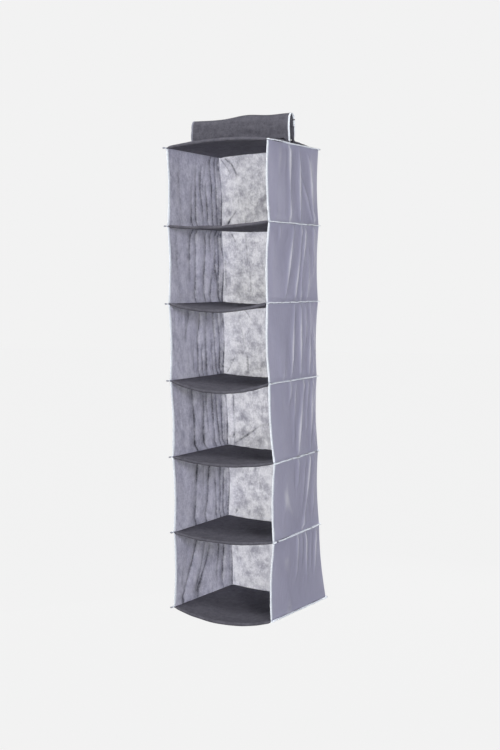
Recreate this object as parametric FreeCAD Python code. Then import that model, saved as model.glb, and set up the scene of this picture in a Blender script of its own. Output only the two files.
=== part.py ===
import FreeCAD, Part
import math
import os

from FreeCAD import Vector

# Hanging shoe organizer: six open-fronted fabric tiers below a wide hook-and-loop band
# that closes round a rail.
#
# Frame: millimetres, +Z up, X along the rail, -Y towards the open front.
# The origin is on the rail's axis, in the middle of the band.
# Level 0 is the top panel, levels 1 to 5 are the shelves and level 6 is the base.

# Driving dimensions
WIDTH = 300.0                 # outside of the left wall to the outside of the right wall
DEPTH = 280.0                 # front edge to the outside of the back wall
TIER_HEIGHT = 203.0           # seam to seam
TIERS = 6
RAIL_RADIUS = 12.5            # the rail that the band closes round
HANG_DROP = 66.0              # rail axis down to the top panel's seam

# Fabric and board
WALL_CLOTH = 0.6
COVER_CLOTH = 0.6             # each of the two layers of a panel cover
BOARD_THICKNESS = 2.0
BOARD_SLACK = 0.3             # room between the board and each cover layer
POCKET_MARGIN = 6.0           # from the walls in to the edge of the pocket
BOARD_MARGIN = 14.0           # from the walls in to the edge of the board
FRONT_FOLD = 1.0              # thickness of the cover's fold at the front
FOLD_TO_BOARD = 3.0           # front of the cover to the front of the board

# Bound seams that stand out round the left, back and right of every level
SEAM_TONGUE = 8.0             # how far the stitched cover layers stand out
SEAM_CLOTH = 0.8              # half the thickness of those layers
BINDING_REACH = 9.0           # how far the binding tape stands out
BINDING_START = 1.0
BINDING_HALF = 1.7            # half the thickness of the bound seam
BINDING_TIP = 6.0             # the tape's end stands this far past the front edge
SEAM_GAP = 0.4                # a wall's foot stays this far above the level below
HEAD_GAP = 0.2                # a side wall's head stays this far below the level above

# Binding tape folded over the front edge of each side wall
EDGE_TAPE = 0.6
EDGE_TAPE_WIDTH = 9.0

# How each level hangs: the band pulls the top panel up into a dome, and the others sag
FRONT_BOW = [9.0, -9.0, -20.0, -27.0, -14.0, -14.0, -24.0]
BACK_BOW = [4.0, -8.0, -8.0, -8.0, -8.0, -8.0, -8.0]
TOP_SIDE_ARCH = 8.0
TOP_SECTIONS = 6              # arcs that the top panel's dome is lofted through

# Hanging band
BAND_HALF_WIDTH = 150.0
BAND_CLOTH = 1.2
BAND_FLANGE = 15.0            # sewn flat on the top panel
FLANGE_GAP = 0.05             # keeps the flanges off the top panel's arch
FLAP_LENGTH = 45.0
HINGE_GAP = 0.3
BAND_END_BEVEL = 2.5          # height of the band's outer corner, clear of the opened flap
TAPE_THICKNESS = 1.35         # hook tape and loop tape
TAPE_GAP = 0.3
TAPE_HALF_WIDTH = 136.0
TAPE_LOW, TAPE_HIGH = -43.0, -20.0
ANCHOR_TOP = -18.0
END_TAPE = 0.5
END_TAPE_WIDTH = 9.0
END_TAPE_GAP = 0.1            # above the band's flange
END_TAPE_BEVEL = 4.0          # degrees that the tape's outer corner stops short of the band's

# Derived sizes
HALF_W = WIDTH / 2
HALF_D = DEPTH / 2
POCKET_HALF = BOARD_THICKNESS / 2 + BOARD_SLACK
COVER_HALF = POCKET_HALF + COVER_CLOTH
SLIT_HALF = 0.15
HINGE_Y = RAIL_RADIUS + BAND_CLOTH / 2
BAND_OUTER = RAIL_RADIUS + BAND_CLOTH
BAND_END_ANGLE = math.degrees(math.asin(BAND_END_BEVEL / BAND_OUTER))
ANCHOR_OUTER = RAIL_RADIUS - 2 * TAPE_THICKNESS - TAPE_GAP
BASE_LEVEL = TIERS

os.makedirs("parts", exist_ok=True)


def save(name, shape):
    """Writes one sub-part and reports its size and whether it is a sound solid."""
    if shape.ShapeType != "Compound":
        shape = shape.removeSplitter()
    shape.exportStep(f"parts/{name}.step")
    sound = shape.isValid() and all(s.isClosed() and s.Volume > 0 for s in shape.Solids)
    print(f"{name}: {len(shape.Solids)} solid(s), {shape.Volume:.0f} mm3, {'ok' if sound else 'BAD'}")


def block(x, y, z):
    """A box from three (low, high) pairs."""
    return Part.makeBox(x[1] - x[0], y[1] - y[0], z[1] - z[0], Vector(x[0], y[0], z[0]))


def level_z(level):
    """Height of a level's seam."""
    return -HANG_DROP - level * TIER_HEIGHT


def level_name(level):
    return {0: "top", BASE_LEVEL: "base"}.get(level, f"shelf_{level}")


def circle_rise(offset, half_chord, bow):
    """How far an arc over this half chord stands above its chord, at an offset from its middle."""
    if bow == 0:
        return 0.0
    radius = (half_chord**2 + bow**2) / (2 * abs(bow))
    return math.copysign(abs(bow) - radius + math.sqrt(radius**2 - offset**2), bow)


def band_between(low_edge, high_edge):
    """The closed outline between two open edges that run the same way."""
    a, b = low_edge.Vertexes[0].Point, low_edge.Vertexes[-1].Point
    c, d = high_edge.Vertexes[0].Point, high_edge.Vertexes[-1].Point
    return Part.Wire([low_edge, Part.makeLine(b, d), high_edge, Part.makeLine(c, a)])


# The surface of a level: an arc across the width at every depth

def bow_at(level, y):
    """Rise of the middle of a level's width above its sides, which is negative where the level sags."""
    share = (HALF_D - y) / DEPTH
    return BACK_BOW[level] + (FRONT_BOW[level] - BACK_BOW[level]) * share


def side_height(level, y):
    """Height of a level's left and right sides, which on the top panel arch from front to back."""
    arch = TOP_SIDE_ARCH if level == 0 else 0.0
    return level_z(level) + circle_rise(y, HALF_D, arch)


def level_height(level, x, y):
    return side_height(level, y) + circle_rise(x, HALF_W, bow_at(level, y))


def across_edge(level, y, half, rise):
    """The arc across a level at one depth, moved up by rise."""
    points = [Vector(x, y, level_height(level, x, y) + rise) for x in (-half, 0.0, half)]
    return Part.Arc(*points).toShape()


def across_section(level, y, half, rise):
    return band_between(across_edge(level, y, half, -rise), across_edge(level, y, half, rise))


def side_edge(x, y, rise):
    """The arc of the top panel's side between two depths, moved up by rise."""
    depths = (y[0], (y[0] + y[1]) / 2, y[1])
    points = [Vector(x, depth, side_height(0, depth) + rise) for depth in depths]
    return Part.Arc(*points).toShape()


def slab(level, half, y, rise):
    """A curved plate of thickness twice rise, between two depths."""
    steps = TOP_SECTIONS if level == 0 else 1
    depths = [y[0] + (y[1] - y[0]) * step / steps for step in range(steps + 1)]
    sections = [across_section(level, depth, half, rise) for depth in depths]
    return Part.makeLoft(sections, True, steps == 1)


def rim_side(level, x, rise):
    """The part of a rim along one side of a level."""
    if level > 0:
        return block(x, (-HALF_D, HALF_D), (level_z(level) - rise, level_z(level) + rise))
    y = (-HALF_D, HALF_D)
    section = band_between(side_edge(x[0], y, -rise), side_edge(x[0], y, rise))
    return Part.Face(section).extrude(Vector(x[1] - x[0], 0, 0))


def rim(level, start, reach, rise, tip=0.0):
    """The U that stands out round the left, back and right of a level, past the front edge by its tips."""
    z = (level_z(level) - rise, level_z(level) + rise)
    left = (-HALF_W - reach, -HALF_W - start)
    right = (HALF_W + start, HALF_W + reach)
    pieces = [rim_side(level, x, rise) for x in (left, right)]
    back = Part.Face(across_section(level, HALF_D, HALF_W, rise))
    back.translate(Vector(0, start, 0))
    pieces.append(back.extrude(Vector(0, reach - start, 0)))
    for x in ((-HALF_W - reach, -HALF_W), (HALF_W, HALF_W + reach)):
        pieces.append(block(x, (HALF_D + start, HALF_D + reach), z))
    for x in (left, right):
        if start > 0:
            pieces.append(block(x, (HALF_D, HALF_D + start), z))
        if tip > 0:
            pieces.append(block(x, (-HALF_D - tip, -HALF_D), z))
    return pieces[0].multiFuse(pieces[1:])


# Panels: a folded cover round a stiffening board, and the tape that binds its seam

def panel_cover(level):
    """Cloth folded at the front round the board, its layers stitched together at the other edges.
    The layers part along a slit at the back, where the board goes in before the seam is bound."""
    outside = slab(level, HALF_W, (-HALF_D, HALF_D), COVER_HALF)
    tongue = rim(level, 0.0, SEAM_TONGUE, SEAM_CLOTH)
    pocket_half = HALF_W - POCKET_MARGIN
    pocket_back = HALF_D - POCKET_MARGIN
    pocket = slab(level, pocket_half, (-HALF_D + FRONT_FOLD, pocket_back), POCKET_HALF)
    slit_half = pocket_half - POCKET_MARGIN
    mouth = Part.Face(across_section(level, HALF_D, slit_half, SLIT_HALF))
    mouth.translate(Vector(0, -POCKET_MARGIN - 1, 0))
    slit = mouth.extrude(Vector(0, POCKET_MARGIN + SEAM_TONGUE + 2, 0))
    return outside.fuse(tongue).cut(pocket).cut(slit)


def panel_board(level):
    return slab(
        level,
        HALF_W - BOARD_MARGIN,
        (-HALF_D + FOLD_TO_BOARD, HALF_D - BOARD_MARGIN),
        BOARD_THICKNESS / 2,
    )


def seam_binding(level):
    tape = rim(level, BINDING_START, BINDING_REACH, BINDING_HALF, BINDING_TIP)
    return tape.cut(rim(level, 0.0, SEAM_TONGUE, SEAM_CLOTH))


# Walls of a tier, which hang from the level above and reach the level below

def side_wall(tier, side, x_grow=0.0, y_low=-HALF_D, y_high=HALF_D):
    """A side wall, or with x_grow the same outline made thicker, between two depths."""
    outer = side * (HALF_W + x_grow)
    inner = side * (HALF_W - WALL_CLOTH - x_grow)
    low, high = min(outer, inner), max(outer, inner)
    foot = level_z(tier) + COVER_HALF + SEAM_GAP
    if tier > 1:
        head = level_z(tier - 1) - COVER_HALF - HEAD_GAP
        return block((low, high), (y_low, y_high), (foot, head))
    y = (max(y_low, -HALF_D), y_high)
    bottom = Part.makeLine(Vector(low, y[0], foot), Vector(low, y_high, foot))
    top = side_edge(low, y, -COVER_HALF - HEAD_GAP)
    wall = Part.Face(band_between(bottom, top)).extrude(Vector(high - low, 0, 0))
    if y_low < -HALF_D:
        lip = block((low, high), (y_low, -HALF_D), (foot, level_z(0) - COVER_HALF - HEAD_GAP))
        wall = wall.fuse(lip)
    return wall


def back_wall(tier):
    half = HALF_W - WALL_CLOTH
    inner_face = HALF_D - WALL_CLOTH
    foot = across_edge(tier, HALF_D, half, COVER_HALF + SEAM_GAP)
    head = across_edge(tier - 1, HALF_D, half, -COVER_HALF - HEAD_GAP)
    face = Part.Face(band_between(foot, head))
    face.translate(Vector(0, inner_face - HALF_D, 0))
    return face.extrude(Vector(0, WALL_CLOTH, 0))


def edge_binding(tier, side):
    """Tape folded over a side wall's front edge."""
    y = (-HALF_D - EDGE_TAPE, -HALF_D + EDGE_TAPE_WIDTH)
    tape = side_wall(tier, side, EDGE_TAPE, *y)
    return tape.cut(side_wall(tier, side))


# Hanging band, which opens at the back of the rail

def across(profile, half):
    """Extrudes a profile drawn in the YZ plane to both sides of the middle."""
    face = Part.Face(profile)
    face.translate(Vector(-half, 0, 0))
    return face.extrude(Vector(2 * half, 0, 0))


def ring_arc(radius, start, end):
    """An arc round the rail's axis. Angles are in degrees from +Y towards +Z."""
    def at(angle):
        turn = math.radians(angle)
        return Vector(0, radius * math.cos(turn), radius * math.sin(turn))
    return Part.Arc(at(start), at((start + end) / 2), at(end)).toShape()


def sleeve_top():
    """The highest point of the top panel below the band's flanges."""
    return level_height(0, 0.0, -BAND_OUTER - BAND_FLANGE) + COVER_HALF


def hanging_band():
    """From its flange on the top panel, up the front of the rail and over it."""
    inner_end = math.degrees(math.asin((BAND_CLOTH / 2 + HINGE_GAP) / RAIL_RADIUS))
    inner = ring_arc(RAIL_RADIUS, inner_end, 180.0)
    outer = ring_arc(BAND_OUTER, BAND_END_ANGLE, 180.0)
    foot = sleeve_top() + FLANGE_GAP
    corners = [
        Vector(0, -RAIL_RADIUS, 0),
        Vector(0, -RAIL_RADIUS, foot),
        Vector(0, -BAND_OUTER - BAND_FLANGE, foot),
        Vector(0, -BAND_OUTER - BAND_FLANGE, foot + BAND_CLOTH),
        Vector(0, -BAND_OUTER, foot + BAND_CLOTH),
        Vector(0, -BAND_OUTER, 0),
    ]
    straight = [Part.makeLine(a, b) for a, b in zip(corners, corners[1:])]
    end = Part.makeLine(outer.Vertexes[0].Point, inner.Vertexes[0].Point)
    return across(Part.Wire(Part.sortEdges([inner, *straight, outer, end])[0]), BAND_HALF_WIDTH)


def strip_profile(y_low, y_high, z_low, z_high):
    corners = [(y_low, z_low), (y_high, z_low), (y_high, z_high), (y_low, z_high), (y_low, z_low)]
    return Part.makePolygon([Vector(0, y, z) for y, z in corners])


def closing_flap():
    """Hangs behind the rail from a fold, which is its round upper end."""
    strip = across(strip_profile(RAIL_RADIUS, BAND_OUTER, -FLAP_LENGTH, 0.0), BAND_HALF_WIDTH)
    fold = Part.makeCylinder(
        BAND_CLOTH / 2,
        2 * BAND_HALF_WIDTH,
        Vector(-BAND_HALF_WIDTH, HINGE_Y, 0),
        Vector(1, 0, 0),
    )
    return strip.fuse(fold)


def anchor_leaf():
    """Stands behind the rail on its own flange and carries the loop tape."""
    foot = sleeve_top() + FLANGE_GAP
    inner = ANCHOR_OUTER - BAND_CLOTH
    leaf = across(strip_profile(inner, ANCHOR_OUTER, foot, ANCHOR_TOP), BAND_HALF_WIDTH)
    flange = strip_profile(inner, ANCHOR_OUTER + BAND_FLANGE, foot, foot + BAND_CLOTH)
    return leaf.fuse(across(flange, BAND_HALF_WIDTH))


def fastening_tape(y_low):
    profile = strip_profile(y_low, y_low + TAPE_THICKNESS, TAPE_LOW, TAPE_HIGH)
    return across(profile, TAPE_HALF_WIDTH)


def end_tapes(outline):
    """The same tape at both ends of the band: outline(x_low, x_high) makes one."""
    inner = BAND_HALF_WIDTH - END_TAPE_WIDTH
    return Part.makeCompound(
        [
            outline(-BAND_HALF_WIDTH, -inner),
            outline(inner, BAND_HALF_WIDTH),
        ]
    )


def band_end_tape(x_low, x_high):
    """Tape on the outside of the band, from the top panel to the band's end over the rail."""
    foot = sleeve_top() + FLANGE_GAP + BAND_CLOTH + END_TAPE_GAP
    inner = ring_arc(BAND_OUTER, BAND_END_ANGLE, 180.0)
    outer = ring_arc(BAND_OUTER + END_TAPE, BAND_END_ANGLE + END_TAPE_BEVEL, 180.0)
    corners = [
        Vector(0, -BAND_OUTER, 0),
        Vector(0, -BAND_OUTER, foot),
        Vector(0, -BAND_OUTER - END_TAPE, foot),
        Vector(0, -BAND_OUTER - END_TAPE, 0),
    ]
    straight = [Part.makeLine(a, b) for a, b in zip(corners, corners[1:])]
    end = Part.makeLine(outer.Vertexes[0].Point, inner.Vertexes[0].Point)
    face = Part.Face(Part.Wire(Part.sortEdges([inner, *straight, outer, end])[0]))
    face.translate(Vector(x_low, 0, 0))
    return face.extrude(Vector(x_high - x_low, 0, 0))


def flap_end_tape(x_low, x_high):
    z = (-FLAP_LENGTH, -BAND_CLOTH)
    return block((x_low, x_high), (BAND_OUTER, BAND_OUTER + END_TAPE), z)


for level in range(TIERS + 1):
    save(f"{level_name(level)}_cover", panel_cover(level))
    save(f"{level_name(level)}_board", panel_board(level))
    save(f"{level_name(level)}_seam_binding", seam_binding(level))

for tier in range(1, TIERS + 1):
    for side, word in ((-1, "left"), (1, "right")):
        save(f"tier_{tier}_{word}_wall", side_wall(tier, side))
        save(f"tier_{tier}_{word}_edge_binding", edge_binding(tier, side))
    save(f"tier_{tier}_back_wall", back_wall(tier))

save("hanging_band", hanging_band())
save("band_end_bindings", end_tapes(band_end_tape))
save("anchor_leaf", anchor_leaf())
save("loop_tape", fastening_tape(ANCHOR_OUTER))
save("closing_flap", closing_flap())
save("hook_tape", fastening_tape(RAIL_RADIUS - TAPE_THICKNESS))
save("flap_end_bindings", end_tapes(flap_end_tape))
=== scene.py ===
import math

import bpy
import numpy as np
from mathutils import Matrix, Vector


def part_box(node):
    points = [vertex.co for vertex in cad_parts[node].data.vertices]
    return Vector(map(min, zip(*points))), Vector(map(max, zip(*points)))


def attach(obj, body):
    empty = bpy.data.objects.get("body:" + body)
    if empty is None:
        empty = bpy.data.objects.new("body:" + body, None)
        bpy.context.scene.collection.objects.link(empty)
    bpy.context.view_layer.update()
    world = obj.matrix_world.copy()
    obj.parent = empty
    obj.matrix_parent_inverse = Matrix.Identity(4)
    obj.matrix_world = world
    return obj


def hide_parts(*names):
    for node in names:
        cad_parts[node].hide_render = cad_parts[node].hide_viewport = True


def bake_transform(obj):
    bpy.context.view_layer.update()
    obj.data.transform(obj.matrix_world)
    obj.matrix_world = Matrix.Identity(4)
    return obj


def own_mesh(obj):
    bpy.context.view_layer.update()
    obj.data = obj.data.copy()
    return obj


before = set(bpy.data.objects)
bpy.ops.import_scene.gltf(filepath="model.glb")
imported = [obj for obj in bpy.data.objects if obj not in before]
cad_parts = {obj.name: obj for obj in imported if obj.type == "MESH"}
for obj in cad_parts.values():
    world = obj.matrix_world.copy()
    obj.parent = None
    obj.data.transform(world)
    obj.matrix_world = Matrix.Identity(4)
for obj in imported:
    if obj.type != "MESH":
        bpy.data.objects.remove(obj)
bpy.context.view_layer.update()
bpy.ops.object.select_all(action="DESELECT")


# --- Stiffener boards: one piece of raw greyboard inside the top panel, each shelf and the base.
# They lie loose between the two layers of a folded cover, so they only show if a cover is opened.
# The board is recycled paper pulp: grey-brown, faintly speckled, with a soft pressed surface.

LEVELS = ["top", "shelf_1", "shelf_2", "shelf_3", "shelf_4", "shelf_5", "base"]


def new_material(name):
    """A material with a Principled shader, and the calls that add nodes and links to it."""
    made = bpy.data.materials.new(name)
    made.use_nodes = True
    tree = made.node_tree
    shader = tree.nodes["Principled BSDF"]

    def node(kind, **settings):
        n = tree.nodes.new(kind)
        for key, value in settings.items():
            if isinstance(getattr(n, key, None), (str, bool, int)) or key in ("operation", "blend_type"):
                setattr(n, key, value)
            else:
                n.inputs[key.replace("_", " ")].default_value = value
        return n

    return made, tree, shader, node


def finish_pieces(pieces, material):
    """Gives every piece its one material."""
    for piece in pieces:
        piece.data.materials.clear()
        piece.data.materials.append(material)


def ramp(tree, source, stops):
    """A colour ramp after a value: stops are (position, colour)."""
    n = tree.nodes.new("ShaderNodeValToRGB")
    n.color_ramp.elements[0].position = stops[0][0]
    n.color_ramp.elements[0].color = (*stops[0][1], 1)
    n.color_ramp.elements[1].position = stops[-1][0]
    n.color_ramp.elements[1].color = (*stops[-1][1], 1)
    for position, colour in stops[1:-1]:
        n.color_ramp.elements.new(position).color = (*colour, 1)
    tree.links.new(source, n.inputs["Fac"])
    return n.outputs["Color"]


def press_in(tree, shader, height, strength, distance):
    """Gives a finish its fine relief, from a height."""
    bump = tree.nodes.new("ShaderNodeBump")
    bump.inputs["Strength"].default_value = strength
    bump.inputs["Distance"].default_value = distance
    tree.links.new(height, bump.inputs["Height"])
    tree.links.new(bump.outputs["Normal"], shader.inputs["Normal"])


greyboard, tree, shader, node = new_material("greyboard")
place = node("ShaderNodeTexCoord").outputs["Object"]
flecks = node("ShaderNodeTexNoise", Scale=900.0, Detail=4.0, Roughness=0.7)
tree.links.new(place, flecks.inputs["Vector"])
pulp = ramp(tree, flecks.outputs["Fac"], [(0.3, (0.24, 0.21, 0.17)), (0.7, (0.42, 0.38, 0.31))])
tree.links.new(pulp, shader.inputs["Base Color"])
shader.inputs["Roughness"].default_value = 0.9
press_in(tree, shader, flecks.outputs["Fac"], 0.3, 0.0003)
finish_pieces([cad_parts[f"{level}_board"] for level in LEVELS], greyboard)


# --- Panel covers: one piece of dark spunbond non-woven for each level, folded at the front round the board.
# Its two layers are stitched together at the sides and the back, where they stand out as a flat tongue.
# The band pulls the top panel up into a low dome, and the shelves and the base sag under their boards.

WALL_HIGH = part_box("tier_1_right_wall")[1]
HALF_W = WALL_HIGH.x
HALF_D = WALL_HIGH.y
SEAM_HALF = 0.0017
SEAM_Z = [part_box(f"{level}_seam_binding")[1].z - SEAM_HALF for level in LEVELS]
SEAM_Z[0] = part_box("top_seam_binding")[0].z + SEAM_HALF
PITCH = SEAM_Z[1] - SEAM_Z[2]
FRONT_BOW = np.array([9, -9, -20, -27, -14, -14, -24]) / 1000
BACK_BOW = np.array([4, -8, -8, -8, -8, -8, -8]) / 1000
TOP_SIDE_ARCH = 0.008
TOP_HUMP = 0.003              # the top panel's upper layer bags up beside its right seam
COVER_HALF = 0.0021           # half of the panel's thickness, board and both layers
TONGUE_HALF = 0.0007          # half of the two stitched layers
TONGUE = 0.008                # how far they stand out
FOLD_PUFF = 0.0016            # the cloth stands a little fuller round the front fold
CORNER_BEND = 0.014           # the tongue and its tape turn the back corners on this radius

# How far each level's corners hang from the square, (x, y) in millimetres:
# front left, front right, back left, back right.
CORNER_LEAN = np.array([
    [(2, 0), (3, 0), (-7, -3), (3, 1)],
    [(1, 0), (3, 1), (-3, 0), (2, 0)],
    [(-1, 0), (-4, -2), (-3, -2), (-2, -1)],
    [(-1, 0), (-2, -1), (-4, -2), (-7, -4)],
    [(2, 0), (8, 1), (5, 2), (-6, -4)],
    [(1, 1), (2, 3), (3, 0), (-5, -4)],
    [(-3, 0), (-5, -2), (9, 8), (9, 3)],
]) / 1000


def arc_rise(offset, half_chord, bow):
    """How far an arc over this half chord stands above its chord, at an offset from its middle."""
    size = np.maximum(np.abs(bow), 1e-6)
    radius = (half_chord**2 + size**2) / (2 * size)
    inside = np.minimum(np.abs(offset), half_chord)
    return np.sign(bow) * (size - radius + np.sqrt(radius**2 - inside**2))


def smoothstep(low, high, value):
    t = np.clip((value - low) / (high - low), 0, 1)
    return t * t * (3 - 2 * t)


def level_height(level, x, y):
    """The middle of a level's thickness."""
    back_share = np.clip((y + HALF_D) / (2 * HALF_D), 0, 1)
    bow = FRONT_BOW[level] + (BACK_BOW[level] - FRONT_BOW[level]) * back_share
    arch = arc_rise(y, HALF_D, TOP_SIDE_ARCH) if level == 0 else 0.0
    arch = arch * (1 - smoothstep(HALF_W - 0.0125, HALF_W, np.abs(x)))
    return SEAM_Z[level] + arch + arc_rise(x, HALF_W, bow)


def lean(level, x, y):
    """Moves places on the square plan to where the level really hangs."""
    across = np.clip((x + HALF_W) / (2 * HALF_W), 0, 1)[..., None]
    back = np.clip((y + HALF_D) / (2 * HALF_D), 0, 1)[..., None]
    front_left, front_right, back_left, back_right = CORNER_LEAN[level]
    front = front_left + (front_right - front_left) * across
    rear = back_left + (back_right - back_left) * across
    moved = front + (rear - front) * back
    return x + moved[..., 0], y + moved[..., 1]


def ripple(seed, a, b, pitch_a, pitch_b, waves=14):
    """Uneven waves over a surface, about -1 to 1: the same every run for the same seed."""
    draw = np.random.default_rng(seed)
    total = np.zeros(np.broadcast(a, b).shape)
    for _ in range(waves):
        ka, kb = draw.normal(0, 2 * math.pi / pitch_a), draw.normal(0, 2 * math.pi / pitch_b)
        total = total + np.sin(ka * a + kb * b + draw.uniform(0, 2 * math.pi))
    return total / math.sqrt(waves * 2)


def cloth_grid(name, points, size, attributes=None, closed=False):
    """A piece of cloth from rows of points, with a UV map in metres. closed joins each row into a ring."""
    rows, cols = points.shape[:2]
    mesh = bpy.data.meshes.new(name)
    index = np.arange(rows * cols).reshape(rows, cols)
    if closed:
        index = np.hstack([index, index[:, :1]])
    corners = [index[:-1, :-1], index[:-1, 1:], index[1:, 1:], index[1:, :-1]]
    faces = np.stack(corners, -1).reshape(-1, 4)
    mesh.from_pydata(points.reshape(-1, 3).tolist(), [], faces.tolist())
    spans = index.shape[1] - 1
    u, v = np.meshgrid(np.linspace(0, size[0], spans + 1), np.linspace(0, size[1], rows))
    places = np.stack([u, v], -1)
    shown = [places[:-1, :-1], places[:-1, 1:], places[1:, 1:], places[1:, :-1]]
    mesh.uv_layers.new(name="cloth").data.foreach_set("uv", np.stack(shown, 2).astype(np.float32).ravel())
    for key, values in (attributes or {}).items():
        layer = mesh.attributes.new(key, "FLOAT", "POINT")
        layer.data.foreach_set("value", np.asarray(values, np.float32).ravel())
    mesh.polygons.foreach_set("use_smooth", [True] * len(mesh.polygons))
    piece = bpy.data.objects.new(name, mesh)
    bpy.context.scene.collection.objects.link(piece)
    return piece


def thicken(piece, thickness, offset=0.0):
    """Gives a piece of cloth its thickness."""
    bpy.ops.object.select_all(action="DESELECT")
    bpy.context.view_layer.objects.active = piece
    piece.select_set(True)
    solid = piece.modifiers.new("cloth thickness", "SOLIDIFY")
    solid.thickness = thickness
    solid.offset = offset
    bpy.ops.object.modifier_apply(modifier=solid.name)
    piece.select_set(False)
    return piece


def top_hump(x, y):
    """How far the top panel's upper layer bags up beside its right seam."""
    return TOP_HUMP * np.exp(-(((x - 0.128) / 0.022) ** 2) - ((y - 0.045) / 0.075) ** 2)


def cover_points(level):
    """From the bottom layer's back edge, forward round the front fold, and back along the top layer."""
    back = HALF_D + TONGUE
    fold_half = COVER_HALF + FOLD_PUFF
    rear_rows = np.linspace(back, HALF_D - 0.012, 8)
    depths = np.concatenate([rear_rows, np.linspace(HALF_D - 0.02, -HALF_D + fold_half, 42)])
    turn = np.linspace(-math.pi / 2, math.pi / 2, 11)[1:-1]
    y = np.concatenate([depths, -HALF_D + fold_half * (1 - np.cos(turn)), depths[::-1]])
    side = np.concatenate([-np.ones(len(depths)), np.sin(turn), np.ones(len(depths))])
    edge_steps = np.linspace(HALF_W - 0.012, HALF_W + TONGUE, 9)
    x = np.concatenate([-edge_steps[::-1], np.linspace(-HALF_W + 0.017, HALF_W - 0.017, 60), edge_steps])
    x, y = np.meshgrid(x, y)
    side = side[:, None]
    past_x = np.abs(x) - (HALF_W + TONGUE - CORNER_BEND)
    past_y = y - (HALF_D + TONGUE - CORNER_BEND)
    corner = (past_x > 0) & (past_y > 0)
    pull = np.where(corner, np.maximum(past_x, past_y) / np.maximum(np.hypot(past_x, past_y), 1e-9), 1)
    x = np.where(corner, np.sign(x) * (HALF_W + TONGUE - CORNER_BEND + past_x * pull), x)
    y = np.where(corner, HALF_D + TONGUE - CORNER_BEND + past_y * pull, y)
    to_edge = np.minimum(HALF_W - np.abs(x), HALF_D - y)
    puff = FOLD_PUFF * np.exp(-(((y + HALF_D) / 0.014) ** 2))
    half = COVER_HALF + puff
    half = TONGUE_HALF + (half - TONGUE_HALF) * smoothstep(-0.001, 0.009, to_edge)
    pucker = 0.0007 * ripple(level * 7 + 1, x, y, 0.016, 0.016) * np.exp(-((to_edge - 0.009) / 0.008) ** 2)
    loose = 0.0005 * (1 + ripple(level * 7 + 2, x, y, 0.07, 0.05))
    slant = 0.0006 * (1 + ripple(level * 7 + 6, x * 0.5 + y * 0.87, x * 0.87 - y * 0.5, 0.25, 0.022))
    loose = loose + slant * smoothstep(0.25, 0.0, np.abs(x) + np.abs(y) * 0.5) * (side > 0)
    loose = loose * smoothstep(0.005, 0.03, to_edge)
    hump = top_hump(x, y) * smoothstep(0.0, 0.012, to_edge) * (side > 0) * (level == 0)
    lift = (half + np.maximum(pucker, -0.0003) + loose) * side + hump
    real_x, real_y = lean(level, x, y)
    sway = 0.0006 * ripple(level * 7 + 3, x, 0 * y, 0.11, 1.0) * np.exp(-(((y + HALF_D) / 0.02) ** 2))
    sway = sway * smoothstep(0.0, 0.03, to_edge)
    return np.stack([real_x, real_y, level_height(level, real_x, real_y) + lift + sway], -1)


COVER_FLAT = (2 * (HALF_W + TONGUE), 2 * (2 * HALF_D + TONGUE))
covers = []
for level, word in enumerate(LEVELS):
    cover = cloth_grid(f"{word}_folded_cover", cover_points(level), COVER_FLAT)
    thicken(cover, 0.0004, -1.0)
    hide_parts(f"{word}_cover")
    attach(cover, word)
    covers.append(cover)


def spunbond_group():
    """Spunbond cloth: fibres laid at random and welded at a grid of small points.
    Fibre is how much of it lies at a place, and Height is its surface."""
    group = bpy.data.node_groups.new("spunbond", "ShaderNodeTree")
    group.interface.new_socket("Cloud Scale", in_out="INPUT", socket_type="NodeSocketFloat")
    group.interface.new_socket("Fibre", in_out="OUTPUT", socket_type="NodeSocketFloat")
    group.interface.new_socket("Height", in_out="OUTPUT", socket_type="NodeSocketFloat")
    nodes, links = group.nodes, group.links
    entry, leave = nodes.new("NodeGroupInput"), nodes.new("NodeGroupOutput")
    place = nodes.new("ShaderNodeTexCoord").outputs["Object"]

    def noise(scale, detail, rough, stretch=(1, 1, 1)):
        longer = nodes.new("ShaderNodeMapping")
        longer.inputs["Scale"].default_value = stretch
        links.new(place, longer.inputs["Vector"])
        n = nodes.new("ShaderNodeTexNoise")
        n.inputs["Detail"].default_value = detail
        n.inputs["Roughness"].default_value = rough
        links.new(longer.outputs["Vector"], n.inputs["Vector"])
        if scale is None:
            links.new(entry.outputs["Cloud Scale"], n.inputs["Scale"])
        else:
            n.inputs["Scale"].default_value = scale
        return n.outputs["Fac"]

    def math_node(operation, a, b, c=0.0):
        n = nodes.new("ShaderNodeMath")
        n.operation = operation
        for socket, value in zip(n.inputs, (a, b, c)):
            if isinstance(value, (int, float)):
                socket.default_value = value
            else:
                links.new(value, socket)
        return n.outputs[0]

    clouds = noise(None, 7.0, 0.80)
    fibres = noise(330.0, 3.0, 0.75, (1, 1, 0.6))
    blend = math_node("ADD", math_node("MULTIPLY", clouds, 0.68), math_node("MULTIPLY", fibres, 0.32))
    spread = math_node("MULTIPLY_ADD", blend, 4.0, -1.48)
    links.new(spread, leave.inputs["Fibre"])
    bonds = nodes.new("ShaderNodeTexVoronoi")
    bonds.inputs["Scale"].default_value = 480.0
    bonds.inputs["Randomness"].default_value = 0.15
    links.new(place, bonds.inputs["Vector"])
    dots = math_node("MINIMUM", bonds.outputs["Distance"], 0.35)
    links.new(math_node("ADD", dots, math_node("MULTIPLY", fibres, 0.5)), leave.inputs["Height"])
    return group


SPUNBOND = spunbond_group()

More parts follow.
